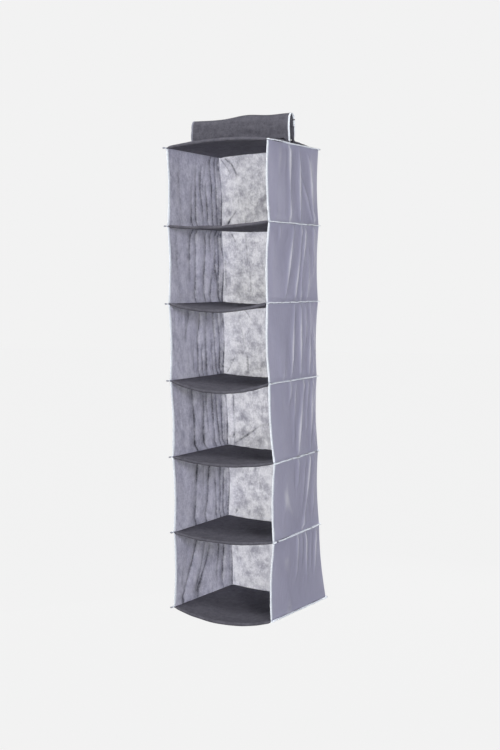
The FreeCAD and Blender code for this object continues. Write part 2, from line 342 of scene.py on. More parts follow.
dark_cloth, tree, shader, node = new_material("dark_spunbond")
weld = tree.nodes.new("ShaderNodeGroup")
weld.node_tree = SPUNBOND
weld.inputs["Cloud Scale"].default_value = 60.0
dark = ramp(tree, weld.outputs["Fibre"], [(0.1, (0.076, 0.074, 0.091)), (0.9, (0.126, 0.123, 0.148))])
tree.links.new(dark, shader.inputs["Base Color"])
shader.inputs["Roughness"].default_value = 0.85
shader.inputs["Specular IOR Level"].default_value = 0.15
press_in(tree, shader, weld.outputs["Height"], 0.5, 0.0002)
finish_pieces(covers, dark_cloth)


# --- Bound seams: pale tape folded over the stitched edges of a level, round its left, back and right side.
# The tape stands out flat from the walls and twists and bunches; where it bunches, its colour is darkened as
# painted shade.

BINDING_START, BINDING_REACH, BINDING_TIP = 0.0012, 0.009, 0.006
SEAM_TAPE_CUT = 0.02          # the tape's width before it is folded
RING = 16                     # points round a folded tape


def tape_section(half_width, half_thickness):
    """The outline of a folded tape, a flat rounded bar."""
    turn = np.linspace(0, 2 * math.pi, RING + 1)[:-1]
    wide = np.sign(np.cos(turn)) * np.abs(np.cos(turn)) ** 0.6 * half_width
    thick = np.sign(np.sin(turn)) * np.abs(np.sin(turn)) ** 0.7 * half_thickness
    return wide, thick


def seam_path(level):
    """The line half way across the tape, from its left front tip round the back to the right front tip."""
    middle = HALF_W + (BINDING_START + BINDING_REACH) / 2
    rear = HALF_D + (BINDING_START + BINDING_REACH) / 2
    front = -HALF_D - BINDING_TIP
    bend = CORNER_BEND
    side = np.linspace(front, rear - bend, 120)
    turn = np.linspace(0, math.pi / 2, 6)[1:-1]
    corner_x = middle - bend + bend * np.cos(turn)
    corner_y = rear - bend + bend * np.sin(turn)
    across = np.linspace(middle - bend, -middle + bend, 120)
    right = np.stack([np.full(120, middle), side], -1)
    corner = np.stack([corner_x, corner_y], -1)
    back = np.stack([across, np.full(120, rear)], -1)
    left = right[::-1] * (-1, 1)
    path = np.concatenate([right, corner, back, corner[::-1] * (-1, 1), left])[::-1]
    return path[:, 0], path[:, 1]


def seam_binding(level):
    """The folded tape of one level, with its two rows of stitches."""
    x, y = seam_path(level)
    real_x, real_y = lean(level, x, y)
    z = level_height(level, x, y)
    run = np.concatenate([[0], np.cumsum(np.hypot(np.diff(real_x), np.diff(real_y)))])
    ahead = np.stack([np.gradient(real_x), np.gradient(real_y)], -1)
    ahead /= np.linalg.norm(ahead, axis=1)[:, None]
    outward = np.stack([-ahead[:, 1], ahead[:, 0]], -1)
    away = np.stack([np.sign(x) * (np.abs(x) > HALF_W), y > HALF_D], -1)
    outward *= np.sign((outward * away).sum(1) + 1e-9)[:, None]
    twist = 0.15 * ripple(level * 11 + 3, run, 0 * run, 0.09, 1.0)
    wave = 0.0006 * ripple(level * 11 + 4, run, 0 * run, 0.08, 1.0)
    lump = np.clip(ripple(level * 11 + 5, run, 0 * run, 0.05, 1.0) - 0.7, 0, 1)
    # Painted shade: the tape is also bunched and darkened near its left front tip.
    lump = np.maximum(lump, 0.75 * smoothstep(-HALF_D - 0.001, -HALF_D - 0.003, y) * (x < 0))
    half_reach = (BINDING_REACH - BINDING_START) / 2
    ring_out, ring_up = tape_section(half_reach, 1.0)
    flat = 0.0013 + 0.0009 * lump
    out = ring_out[None] * (1 - 0.25 * lump[:, None])
    up = ring_up[None] * flat[:, None]
    cos, sin = np.cos(twist)[:, None], np.sin(twist)[:, None]
    out, up = out * cos - up * sin, out * sin + up * cos
    points = np.stack([
        real_x[:, None] + outward[:, :1] * out,
        real_y[:, None] + outward[:, 1:] * out,
        (z + wave)[:, None] + up,
    ], -1)
    # The lumps darken the tape's colour as painted shade.
    shade = np.repeat(lump[:, None], RING, 1)
    name = f"{LEVELS[level]}_bound_seam"
    piece = cloth_grid(name, points, (SEAM_TAPE_CUT, run[-1]), {"painted_tape_shade": shade}, closed=True)
    close_ends(piece, RING)
    rows = [(points[:, 5], (0, 0, 1)), (points[:, 11], (0, 0, -1))]
    return join_into(piece, [stitches("seam stitches", rows)])


def close_ends(piece, ring):
    """Caps the two ends of a tape that was made as a tube of rings."""
    bpy.ops.object.select_all(action="DESELECT")
    bpy.context.view_layer.objects.active = piece
    piece.select_set(True)
    bpy.ops.object.mode_set(mode="EDIT")
    bpy.ops.mesh.select_mode(type="EDGE")
    bpy.ops.mesh.select_all(action="DESELECT")
    bpy.ops.mesh.select_non_manifold()
    bpy.ops.mesh.fill_holes(sides=ring)
    bpy.ops.mesh.select_all(action="SELECT")
    bpy.ops.mesh.normals_make_consistent(inside=False)
    bpy.ops.object.mode_set(mode="OBJECT")
    piece.select_set(False)


STITCH, STITCH_GAP, THREAD_HALF = 0.0027, 0.0011, 0.0004


def along_path(at, run, values):
    """The values at these distances along a path."""
    return np.stack([np.interp(at, run, values[:, k]) for k in range(3)], -1)


def stitches(name, paths, lift=0.0001):
    """Rows of lockstitch along lines of points, each given with the way its cloth faces."""
    corners, faces = [], []
    for path, facing in paths:
        run = np.concatenate([[0], np.cumsum(np.linalg.norm(np.diff(path, axis=0), axis=1))])
        starts = np.arange(STITCH_GAP, run[-1] - STITCH, STITCH + STITCH_GAP)
        ends = [along_path(at, run, path) for at in (starts, starts + STITCH)]
        facing = np.broadcast_to(facing, path.shape)
        up = along_path(starts, run, facing)
        ahead = ends[1] - ends[0]
        across = np.cross(ahead, up)
        across *= THREAD_HALF / np.maximum(np.linalg.norm(across, axis=1, keepdims=True), 1e-9)
        middle = (ends[0] + ends[1]) / 2 + up * lift
        rise = up * THREAD_HALF
        for near, far, mid, wide, high in zip(*ends, middle, across, rise):
            base = len(corners)
            corners += [near, mid + wide, far, mid - wide, mid + high, mid - high]
            faces += [(base + i, base + (i + 1) % 4, base + 4) for i in range(4)]
            faces += [(base + (i + 1) % 4, base + i, base + 5) for i in range(4)]
    mesh = bpy.data.meshes.new(name)
    mesh.from_pydata([tuple(c) for c in corners], [], faces)
    mesh.uv_layers.new(name="cloth")
    mesh.polygons.foreach_set("use_smooth", [True] * len(mesh.polygons))
    thread = bpy.data.objects.new(name, mesh)
    bpy.context.scene.collection.objects.link(thread)
    return thread


def join_into(piece, parts):
    """Joins finished details into the piece they are sewn to."""
    bpy.ops.object.select_all(action="DESELECT")
    for part in parts:
        part.select_set(True)
    piece.select_set(True)
    bpy.context.view_layer.objects.active = piece
    bpy.ops.object.join()
    piece.select_set(False)
    return piece


bindings = []
for level, word in enumerate(LEVELS):
    piece = seam_binding(level)
    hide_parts(f"{word}_seam_binding")
    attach(piece, word)
    bindings.append(piece)

tape, tree, shader, node = new_material("pale_binding_tape")
uv = node("ShaderNodeUVMap", uv_map="cloth").outputs["UV"]
ribs = node("ShaderNodeTexWave", Scale=330.0, Distortion=1.5, Detail=2.0)
ribs.bands_direction = "Y"
tree.links.new(uv, ribs.inputs["Vector"])
wear = node("ShaderNodeTexNoise", Scale=260.0, Detail=3.0)
tree.links.new(node("ShaderNodeTexCoord").outputs["Object"], wear.inputs["Vector"])
pale = ramp(tree, wear.outputs["Fac"], [(0.3, (0.70, 0.75, 0.84)), (0.6, (0.88, 0.92, 0.98))])
# Painted shade: the pale tape turns towards the dark colour below where it bunches and on the left ends.
painted_tape_shade = node("ShaderNodeAttribute", attribute_name="painted_tape_shade").outputs["Fac"]
shaded = node("ShaderNodeMix", data_type="RGBA")
tree.links.new(painted_tape_shade, shaded.inputs["Factor"])
tree.links.new(pale, shaded.inputs[6])
shaded.inputs[7].default_value = (0.12, 0.12, 0.17, 1)
tree.links.new(shaded.outputs[2], shader.inputs["Base Color"])
shader.inputs["Roughness"].default_value = 0.7
press_in(tree, shader, ribs.outputs["Fac"], 0.4, 0.0002)
finish_pieces(bindings, tape)


# --- Walls: a left, a right and a back wall of thin grey spunbond for each tier, sewn in above and below.
# The cloth is cut a little too wide, so it hangs in upright folds, and the back walls show slanting creases.
# The side walls move with the level above their tier, and the back walls stay where they hang.


def fold_flat(piece, tier):
    """Hangs the piece on the level above its tier, and gives it a mesh of its own."""
    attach(piece, LEVELS[tier - 1])
    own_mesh(piece)


WALL_SLACK = 1.03            # a side wall is cut this much wider than its level is deep
BACK_SLACK = 1.015
SETTLE_FRAMES = 16
SETTLE_LIMIT = 0.008

# Upright pleats: (place at the top, place at the foot, width, height, where it starts, where it ends).
# Places run along the wall from its front, in millimetres.
# Starts and ends are shares of the height from the foot.
RIGHT_FOLDS = [
    [
        (60, 46, 16, 2.5, 0, 1), (114, 115, 4, 4.5, 0, 1), (166, 174, 4, 4.5, 0, 1),
        (140, 250, 3, 3, 0, 0.55), (212, 258, 3.5, 3.5, 0, 0.9), (232, 236, 8, 2.5, 0.3, 1),
        (90, 84, 10, 1.5, 0, 1),
    ],
    [
        (62, 40, 4, 2.5, 0.78, 1), (134, 92, 4.5, 4.5, 0, 1), (180, 144, 4, 4.5, 0, 1),
        (198, 178, 3.5, 4, 0, 1), (250, 246, 4, 3.5, 0.35, 1), (226, 214, 5, 3, 0, 0.7),
        (28, 30, 14, 1.8, 0, 1),
    ],
    [
        (146, 124, 4, 4.5, 0, 1), (178, 180, 3.5, 5, 0, 1), (232, 232, 5, 3.5, 0, 1),
        (206, 204, 5, 3, 0.45, 1), (60, 74, 14, 2, 0, 0.7), (258, 254, 4, 3, 0, 0.6),
        (100, 84, 8, 2, 0, 0.5),
    ],
    [
        (122, 76, 5, 3, 0.7, 1), (146, 128, 7, 2.8, 0.2, 1), (198, 150, 4.5, 5, 0, 1),
        (252, 230, 4, 4, 0, 1), (226, 196, 5, 3, 0.3, 1), (66, 60, 16, 2.2, 0, 0.9),
        (268, 262, 4, 3, 0, 0.5),
    ],
    [
        (-8, 150, 18, 2.2, 0.12, 0.92), (148, 132, 5, 3.5, 0.6, 1), (226, 172, 4.5, 4.5, 0, 1),
        (196, 160, 7, 2.5, 0.3, 1), (252, 238, 4, 3, 0.2, 1), (80, 60, 14, 2, 0, 0.8),
    ],
    [
        (142, 120, 5, 3.5, 0.42, 1), (190, 190, 4, 4, 0.35, 1), (166, 158, 5, 2.5, 0.55, 1),
        (258, 216, 4, 4, 0.38, 1), (228, 206, 5, 3, 0.5, 1), (70, 90, 28, 3, 0, 0.8),
    ],
]
LEFT_FOLDS = [
    [
        (70, 60, 18, 2.5, 0, 1), (132, 126, 4, 4, 0, 0.55), (156, 150, 4, 5, 0, 0.8),
        (184, 186, 3.5, 5, 0, 0.8), (202, 214, 4, 5, 0, 0.6), (232, 238, 5, 4.5, 0, 1),
        (256, 262, 4, 4, 0, 1), (214, 168, 5, 2.5, 0.5, 1), (276, 277, 3.5, 4, 0, 1),
    ],
    [
        (126, 96, 6, 4, 0.35, 1), (151, 138, 3.5, 6, 0, 1), (198, 188, 4, 6, 0, 1),
        (222, 214, 3.5, 3.5, 0.7, 1), (250, 232, 3.5, 5, 0.35, 1), (226, 262, 3, 4, 0, 0.45),
        (238, 214, 3, 3.5, 0, 0.4), (40, 60, 20, 2.5, 0, 1), (266, 264, 4, 4, 0, 1),
        (276, 277, 3.5, 4, 0, 1),
    ],
    [
        (110, 56, 5, 4, 0.55, 1), (166, 148, 4, 6, 0, 1), (230, 248, 4, 6, 0, 1), (196, 188, 6, 3.5, 0, 1),
        (214, 226, 3, 4, 0, 0.45), (176, 168, 3, 4, 0, 0.4), (258, 264, 4, 4.5, 0, 1),
        (130, 124, 5, 2.5, 0, 0.5), (276, 277, 3.5, 4, 0, 1),
    ],
    [
        (118, 122, 10, 5, 0, 1), (174, 170, 8, 5.5, 0, 1), (196, 190, 4, 3.5, 0.3, 1),
        (220, 218, 5, 5, 0, 1), (240, 244, 4, 5, 0, 1), (262, 262, 4, 5, 0, 1), (60, 70, 22, 2, 0, 1),
        (276, 277, 3.5, 4, 0, 1),
    ],
    [
        (134, 108, 9, 5, 0, 1), (200, 160, 8, 5.5, 0, 1), (222, 216, 4, 3.5, 0, 0.6),
        (244, 236, 5, 4.5, 0, 1), (170, 140, 5, 2.5, 0.3, 1), (262, 256, 4, 4, 0, 1),
        (50, 40, 20, 2, 0, 1), (276, 277, 3.5, 4, 0, 1),
    ],
    [
        (148, 40, 6, 7, 0, 1), (218, 108, 10, 5, 0, 1), (238, 196, 7, 4, 0.2, 1), (256, 232, 5, 4, 0, 0.7),
        (190, 96, 5, 3, 0.1, 0.8), (90, 20, 14, 2.5, 0.2, 0.9), (276, 277, 3.5, 4, 0, 1),
    ],
]
# Creases of the back walls, in millimetres from the wall's left foot: (x, z, x, z, width, height).
BACK_CREASES = [
    [
        (4, 4, 70, 80, 4, 2.4), (14, 8, 34, 40, 3, 1.5), (6, 197, 36, 152, 3, 2),
        (18, 199, 50, 165, 3.5, 2.4), (26, 200, 60, 140, 5, 2.5), (76, 4, 78, 44, 6, 1.6),
        (190, 196, 150, 120, 8, 3), (262, 8, 220, 70, 5, 2.5), (292, 190, 262, 140, 4, 2.4),
    ],
    [
        (30, 196, 46, 168, 4, 1.6), (74, 199, 82, 96, 9, 3), (88, 90, 92, 6, 8, 2),
        (4, 120, 12, 4, 6, 2.5), (284, 196, 250, 120, 7, 2.6), (180, 4, 200, 90, 8, 2.4),
    ],
    [
        (62, 198, 96, 156, 4, 2.8), (50, 160, 78, 60, 9, 3.4), (78, 60, 82, 4, 5, 2),
        (12, 6, 42, 60, 3, 2), (280, 4, 240, 80, 5, 2.8), (220, 190, 200, 110, 9, 2.8),
    ],
    [
        (13, 199, 24, 130, 3, 4), (24, 145, 20, -20, 3, 5), (21, 6, 125, 74, 3, 4),
        (112, 66, 190, 78, 9, 2.4), (14, 20, 24, 40, 3, 2), (288, 196, 270, 40, 8, 3.5),
        (200, 198, 180, 120, 9, 2.4),
    ],
    [
        (74, 200, 96, 140, 7, 3.2), (34, 198, 50, 168, 5, 2.4), (96, 140, 120, 60, 10, 2.8),
        (20, 4, 36, 30, 3, 1.6), (250, 196, 226, 90, 9, 3), (210, 4, 240, 60, 6, 2.4),
    ],
    [
        (4, 196, 28, 60, 6, 3.5), (40, 198, 70, 140, 7, 3), (100, 198, 130, 120, 9, 3),
        (160, 196, 170, 120, 8, 2.6), (270, 196, 240, 80, 9, 3.4), (286, 20, 250, 60, 6, 2.4),
    ],
]


def pleat(distance, width):
    """A pleat across its run: a crisp crest on a wide soft skirt."""
    near = np.sqrt(distance**2 + (0.3 * width) ** 2) - 0.3 * width
    return 0.7 * np.exp(-near / (0.8 * width)) + 0.3 * np.exp(-((distance / (3.2 * width)) ** 2))


def pinched(distance, width):
    """How far the cloth is folded on itself at a pleat, which is dark against the light."""
    return np.exp(-((distance / (0.22 * width + 0.0010)) ** 2))


def side_relief(folds, along, up, breadth):
    """Height of the upright pleats over a side wall, and how pinched the cloth is there, with painted shade
    beside each pleat.
    """
    relief, pinch_and_shade = np.zeros(along.shape), np.zeros(along.shape)
    for top, foot, width, height, start, end in folds:
        middle = (foot + (top - foot) * up) / 1000
        middle = middle + 0.003 * np.sin(up * 5.1 + top) * (up * (1 - up)) * 4
        width, height = width * breadth / 1000, height * 1.3 / 1000
        fade = smoothstep(start - 0.12, start + 0.12, up) if start > 0 else 1.0
        fade = fade * (1 - smoothstep(end - 0.12, end + 0.12, up) if end < 1 else 1.0)
        fade = fade * (1 + 0.25 * np.sin(up * 7.3 + foot))
        relief += height * fade * pleat(along - middle, width)
        uneven = 0.68 + 0.32 * np.sin(up * 11.7 + foot * 0.9) * np.sin(up * 4.3 + top)
        depth = fade * smoothstep(0.002, 0.006, height) * uneven
        pinch_and_shade += depth * pinched(along - middle, width * (0.45 + 0.8 * uneven))
        # Painted shade: a wide dark band just to one side of each pleat.
        pinch_and_shade += 0.42 * depth * np.exp(-(((along - middle + 0.004) / (1.5 * width + 0.003)) ** 2))
    return relief, np.minimum(pinch_and_shade, 1)


def back_relief(creases, along, up):
    """The same for a back wall, whose creases run from point to point."""
    relief, pinch_and_shade = np.zeros(along.shape), np.zeros(along.shape)
    for x0, z0, x1, z1, width, height in creases:
        a, b = np.array([x0, z0]) / 1000, np.array([x1, z1]) / 1000
        run = b - a
        t = ((along - a[0]) * run[0] + (up - a[1]) * run[1]) / (run @ run)
        inside = np.clip(t, 0, 1)
        distance = np.hypot(along - a[0] - inside * run[0], up - a[1] - inside * run[1])
        distance = distance + 0.0012 * np.sin(t * 5 + x0)
        fade = (1 - smoothstep(0.5, 1.0, t)) * smoothstep(-0.05, 0.05, t)
        width, height = width / 1000, height / 1000
        relief += height * fade * pleat(distance, width)
        pinch_and_shade += fade * (0.75 - 0.5 * smoothstep(0.003, 0.009, width)) * pinched(distance, width)
    return relief, np.minimum(pinch_and_shade, 1)


WAIST = 0.0045                # how far slack cloth draws a wall's edge in at mid height


def between_levels(tier, x, y, up):
    """Where a wall runs between its two seams, before it sags: x, y and z at shares of its height."""
    low_x, low_y = lean(tier, x, y)
    high_x, high_y = lean(tier - 1, x, y)
    foot = level_height(tier, x, y) + TONGUE_HALF
    head = level_height(tier - 1, x, y) - TONGUE_HALF
    return low_x + (high_x - low_x) * up, low_y + (high_y - low_y) * up, foot + (head - foot) * up


def side_wall(tier, side):
    """One side wall as it is first hung. side is -1 for the left and 1 for the right."""
    cols, rows = 77, 53
    along, up = np.meshgrid(np.linspace(0, 2 * HALF_D, cols), np.linspace(0, 1, rows))
    y = along - HALF_D
    x = np.full(y.shape, side * HALF_W)
    wall_x, wall_y, wall_z = between_levels(tier, x, y, up)
    hold = smoothstep(0, 0.03, up) * smoothstep(0, 0.03, 1 - up)
    ends = smoothstep(0, 0.012, along) * smoothstep(0, 0.012, 2 * HALF_D - along)
    seed = tier * 31 + (5 if side > 0 else 9)
    soft = 0.0010 * ripple(seed, along, up * PITCH, 0.060, 0.16)
    waist = np.sin(math.pi * up) * (WAIST - 0.002 * np.sin(math.pi * along / (2 * HALF_D)))
    push = soft * ends * hold
    points = np.stack([wall_x + side * (push - waist), wall_y, wall_z], -1)
    flat = np.stack([x, y * WALL_SLACK, up * PITCH * 1.005], -1)
    word = "right" if side > 0 else "left"
    step = 1 if side > 0 else -1
    return hung_cloth(
        f"tier_{tier}_{word}_cloth", points[::step], (2 * HALF_D, PITCH), flat[::step],
        (side, 0, 0), along[::step], up[::step],
    )


def back_wall(tier):
    """One back wall as it is first hung."""
    cols, rows = 79, 53
    along, up = np.meshgrid(np.linspace(0, 2 * HALF_W, cols), np.linspace(0, 1, rows))
    x = along - HALF_W
    y = np.full(x.shape, HALF_D)
    wall_x, wall_y, wall_z = between_levels(tier, x, y, up)
    hold = smoothstep(0, 0.03, up) * smoothstep(0, 0.03, 1 - up)
    ends = smoothstep(0, 0.008, along) * smoothstep(0, 0.008, 2 * HALF_W - along)
    soft = 0.0012 * ripple(tier * 31 + 2, along, up * PITCH, 0.09, 0.12)
    side_pull = np.sin(math.pi * up) * WAIST * (np.abs(x) / HALF_W) ** 6 * np.sign(x)
    wall_y = wall_y + soft * hold * ends - 0.002 * np.sin(math.pi * up) * ends
    points = np.stack([wall_x - side_pull, wall_y, wall_z], -1)
    flat = np.stack([x * BACK_SLACK, y, up * PITCH * 1.006], -1)
    return hung_cloth(
        f"tier_{tier}_back_cloth", points[::-1], (2 * HALF_W, PITCH), flat[::-1],
        (0, 1, 0), along[::-1], up[::-1],
    )


def hung_cloth(name, points, size, flat, facing, along, up):
    """A wall sewn down along all four edges, which also keeps its shape as it was cut."""
    rows, cols = points.shape[:2]
    wall = cloth_grid(name, points, size, {"along": along, "up": up})
    wall.shape_key_add(name="hung")
    cut = wall.shape_key_add(name="flat cut")
    cut.data.foreach_set("co", flat.astype(np.float32).ravel())
    edge = np.zeros((rows, cols), bool)
    edge[[0, -1]] = True
    edge[:, [0, -1]] = True
    wall.vertex_groups.new(name="sewn").add(np.flatnonzero(edge.ravel()).tolist(), 1.0, "REPLACE")
    wall["facing"] = facing
    return wall


def settle(cloths):
    """Lets the slack walls buckle between their seams, by SETTLE_LIMIT at most."""
    scene = bpy.context.scene
    for wall in cloths:
        modifier = wall.modifiers.new("hang", "CLOTH")
        cloth = modifier.settings
        cloth.quality = 5
        cloth.mass = 0.08
        cloth.tension_stiffness = cloth.compression_stiffness = 18
        cloth.shear_stiffness = 8
        cloth.bending_stiffness = 0.25
        cloth.air_damping = 3
        cloth.vertex_group_mass = "sewn"
        cloth.rest_shape_key = wall.data.shape_keys.key_blocks["flat cut"]
        cloth.effector_weights.gravity = 0.3
        modifier.collision_settings.use_collision = False
        modifier.collision_settings.use_self_collision = False
        modifier.point_cache.frame_start, modifier.point_cache.frame_end = 1, SETTLE_FRAMES
    for step in range(1, SETTLE_FRAMES + 1):
        scene.frame_set(step)
    graph = bpy.context.evaluated_depsgraph_get()
    for wall in cloths:
        first = np.empty(len(wall.data.vertices) * 3, np.float32)
        wall.data.shape_keys.key_blocks["hung"].data.foreach_get("co", first)
        last = np.empty(len(first), np.float32)
        wall.evaluated_get(graph).data.vertices.foreach_get("co", last)
        moved = (last - first).reshape(-1, 3)
        far = np.linalg.norm(moved, axis=1, keepdims=True)
        moved *= np.minimum(1, SETTLE_LIMIT / np.maximum(far, 1e-9))
        wall.modifiers.clear()
        wall.shape_key_clear()
        wall.data.vertices.foreach_set("co", (first.reshape(-1, 3) + moved).ravel())
    scene.frame_set(1)


def crease_cloth(wall, creases, size):
    """Rounds the settled cloth, presses its pleats in, marks pinches, and paints shade where it stands
    edge-on and highlights on crests.
    """
    bpy.ops.object.select_all(action="DESELECT")
    bpy.context.view_layer.objects.active = wall
    wall.select_set(True)
    rounding = wall.modifiers.new("rounding", "SUBSURF")
    rounding.levels = rounding.render_levels = 1
    rounding.boundary_smooth = "PRESERVE_CORNERS"
    bpy.ops.object.modifier_apply(modifier=rounding.name)
    wall.select_set(False)
    mesh = wall.data
    count = len(mesh.vertices)
    along, up = np.empty(count, np.float32), np.empty(count, np.float32)
    places = np.empty(count * 3, np.float32)
    mesh.attributes["along"].data.foreach_get("value", along)
    mesh.attributes["up"].data.foreach_get("value", up)
    mesh.vertices.foreach_get("co", places)
    facing = np.array(wall["facing"][:])
    if facing[1]:
        relief, pinch_and_pleat_shade = back_relief(creases, along, up * PITCH)
    else:
        relief, pinch_and_pleat_shade = side_relief(creases, along, up, 1.4 if facing[0] < 0 else 1.05)
    # Painted highlight: the pleat crests are marked to be drawn lighter.
    crest = smoothstep(0.0030, 0.0065, relief)
    hold = smoothstep(0, 0.10, up) * smoothstep(0, 0.10, 1 - up)
    ends = smoothstep(0, 0.010, along) * smoothstep(0, 0.010, size - along)
    near_ends = smoothstep(0, 0.003, along) * smoothstep(-0.002, 0.001, size - along)
    fine = 0.00025 * ripple(int(relief.sum() * 1000) % 97, along, up * PITCH, 0.012, 0.03)
    push = (relief * hold + fine * smoothstep(0, 0.02, up) * smoothstep(0, 0.02, 1 - up)) * ends
    places = places.reshape(-1, 3) + push[:, None] * facing
    mesh.vertices.foreach_set("co", places.astype(np.float32).ravel())
    mesh.update()
    normals = np.empty(count * 3, np.float32)
    mesh.vertex_normals.foreach_get("vector", normals)
    slope = 1 - np.abs(normals.reshape(-1, 3) @ facing)
    # Painted shade: the cloth is darkened where it tilts edge-on to its wall.
    edge_on_shade = hold * smoothstep(0.08, 0.5, slope)
    marks = {"pinch_and_shade": np.maximum(pinch_and_pleat_shade * near_ends, edge_on_shade), "crest_highlight": crest * ends}
    for key, values in marks.items():
        layer = mesh.attributes.new(key, "FLOAT", "POINT")
        layer.data.foreach_set("value", values.astype(np.float32))
    mesh.attributes.remove(mesh.attributes["along"])
    mesh.attributes.remove(mesh.attributes["up"])


tiers = range(1, len(LEVELS))
hung = [(tier, word, side_wall(tier, side)) for tier in tiers for side, word in ((-1, "left"), (1, "right"))]
hung += [(tier, "back", back_wall(tier)) for tier in tiers]
walls = [wall for tier, word, wall in hung]
settle(walls)
for tier, word, wall in hung:
    folds = {"left": LEFT_FOLDS, "right": RIGHT_FOLDS, "back": BACK_CREASES}[word][tier - 1]
    crease_cloth(wall, folds, 2 * HALF_W if word == "back" else 2 * HALF_D)
    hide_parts(f"tier_{tier}_{word}_wall")
    if word == "back":
        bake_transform(wall)
    else:
        fold_flat(wall, tier)

thin_cloth, tree, shader, node = new_material("thin_grey_spunbond")
weld = tree.nodes.new("ShaderNodeGroup")
weld.node_tree = SPUNBOND
weld.inputs["Cloud Scale"].default_value = 38.0
facing = ramp(tree, weld.outputs["Fibre"], [(0.1, (0.42, 0.415, 0.57)), (0.9, (0.45, 0.445, 0.60))])
through_stops = [
    (0.0, (1.0, 1.0, 1.0)),
    (0.35, (0.82, 0.82, 0.83)),
    (0.65, (0.5, 0.5, 0.52)),
    (1.0, (0.22, 0.22, 0.23)),
]
through = ramp(tree, weld.outputs["Fibre"], through_stops)
grain = node("ShaderNodeMath", operation="MULTIPLY_ADD")
tree.links.new(weld.outputs["Fibre"], grain.inputs[0])
grain.inputs[1].default_value = 0.9
grain.inputs[2].default_value = 0.4
broken = node("ShaderNodeMath", operation="MULTIPLY", use_clamp=True)
tree.links.new(node("ShaderNodeAttribute", attribute_name="pinch_and_shade").outputs["Fac"], broken.inputs[0])
tree.links.new(grain.outputs[0], broken.inputs[1])
pinch_and_shade = broken.outputs[0]
# The light through the cloth darkens where it is pinched double, and as painted shade beside pleats and on
# edge-on flanks.
doubled_and_shaded = node("ShaderNodeMix", data_type="RGBA", blend_type="MULTIPLY")
tree.links.new(pinch_and_shade, doubled_and_shaded.inputs["Factor"])
doubled_and_shaded.inputs[7].default_value = (0.09, 0.09, 0.11, 1)
crest_highlight = node("ShaderNodeAttribute", attribute_name="crest_highlight").outputs["Fac"]
inner = tree.nodes.new("ShaderNodeNewGeometry").outputs["Backfacing"]
outer = node("ShaderNodeMath", operation="SUBTRACT")
outer.inputs[0].default_value = 1.0
tree.links.new(inner, outer.inputs[1])
even_glow = node("ShaderNodeMix", data_type="RGBA")
tree.links.new(outer.outputs[0], even_glow.inputs["Factor"])
tree.links.new(through, even_glow.inputs[6])
even_glow.inputs[7].default_value = (0.60, 0.60, 0.64, 1)
tree.links.new(even_glow.outputs[2], doubled_and_shaded.inputs[6])
# Painted highlight: on the outer face the pleat crests turn to a pale colour.
highlight_on_crest = node("ShaderNodeMath", operation="MULTIPLY")
tree.links.new(crest_highlight, highlight_on_crest.inputs[0])
tree.links.new(outer.outputs[0], highlight_on_crest.inputs[1])
# Painted shade: on the inner face the cloth's own colour goes dark along its creases.
inner_shade_mask = node("ShaderNodeMath", operation="MULTIPLY")
tree.links.new(pinch_and_shade, inner_shade_mask.inputs[0])
tree.links.new(inner, inner_shade_mask.inputs[1])
crest = node("ShaderNodeMix", data_type="RGBA")
tree.links.new(highlight_on_crest.outputs[0], crest.inputs["Factor"])
tree.links.new(facing, crest.inputs[6])
crest.inputs[7].default_value = (0.74, 0.74, 0.84, 1)
painted_inner_shade = node("ShaderNodeMix", data_type="RGBA")
tree.links.new(inner_shade_mask.outputs[0], painted_inner_shade.inputs["Factor"])
tree.links.new(crest.outputs[2], painted_inner_shade.inputs[6])
painted_inner_shade.inputs[7].default_value = (0.10, 0.10, 0.13, 1)
tree.links.new(painted_inner_shade.outputs[2], shader.inputs["Base Color"])
shader.inputs["Roughness"].default_value = 0.7
shader.inputs["Specular IOR Level"].default_value = 0.3
press_in(tree, shader, weld.outputs["Height"], 0.25, 0.0001)
glow = node("ShaderNodeBsdfTranslucent")
tree.links.new(doubled_and_shaded.outputs[2], glow.inputs["Color"])
both = node("ShaderNodeMixShader", Fac=0.36)
tree.links.new(shader.outputs["BSDF"], both.inputs[1])
tree.links.new(glow.outputs["BSDF"], both.inputs[2])
tree.links.new(both.outputs["Shader"], tree.nodes["Material Output"].inputs["Surface"])
finish_pieces(walls, thin_cloth)


# --- Edge bindings: narrow pale tape folded over the front edge of each side wall, from seam to seam.
# The edge is drawn in at mid height by the slack cloth, and the tape waves a little with it.
# The tape's ends are caught in the seams, and it moves with the level above, as its wall does.

EDGE_TAPE_WIDTH = 0.0080
EDGE_TAPE_HALF = 0.0012
TAPE_GAP = 0.0002             # between a tape's caught end and the cover beside it


def wall_front(tier, side, up):
    """Where the front edge of a side wall runs: its x, y and z at shares of its height."""
    x, y = side * HALF_W, -HALF_D
    square_x, square_y = np.full(up.shape, x), np.full(up.shape, y)
    low_x, low_y = lean(tier, square_x, square_y)
    high_x, high_y = lean(tier - 1, square_x, square_y)
    waist = np.sin(math.pi * up) * WAIST
    foot = level_height(tier, x, y) + COVER_HALF + TAPE_GAP
    head = level_height(tier - 1, x, y) - COVER_HALF - TAPE_GAP
    return (
        low_x + (high_x - low_x) * up - side * waist,
        low_y + (high_y - low_y) * up,
        foot + (head - foot) * up,
    )


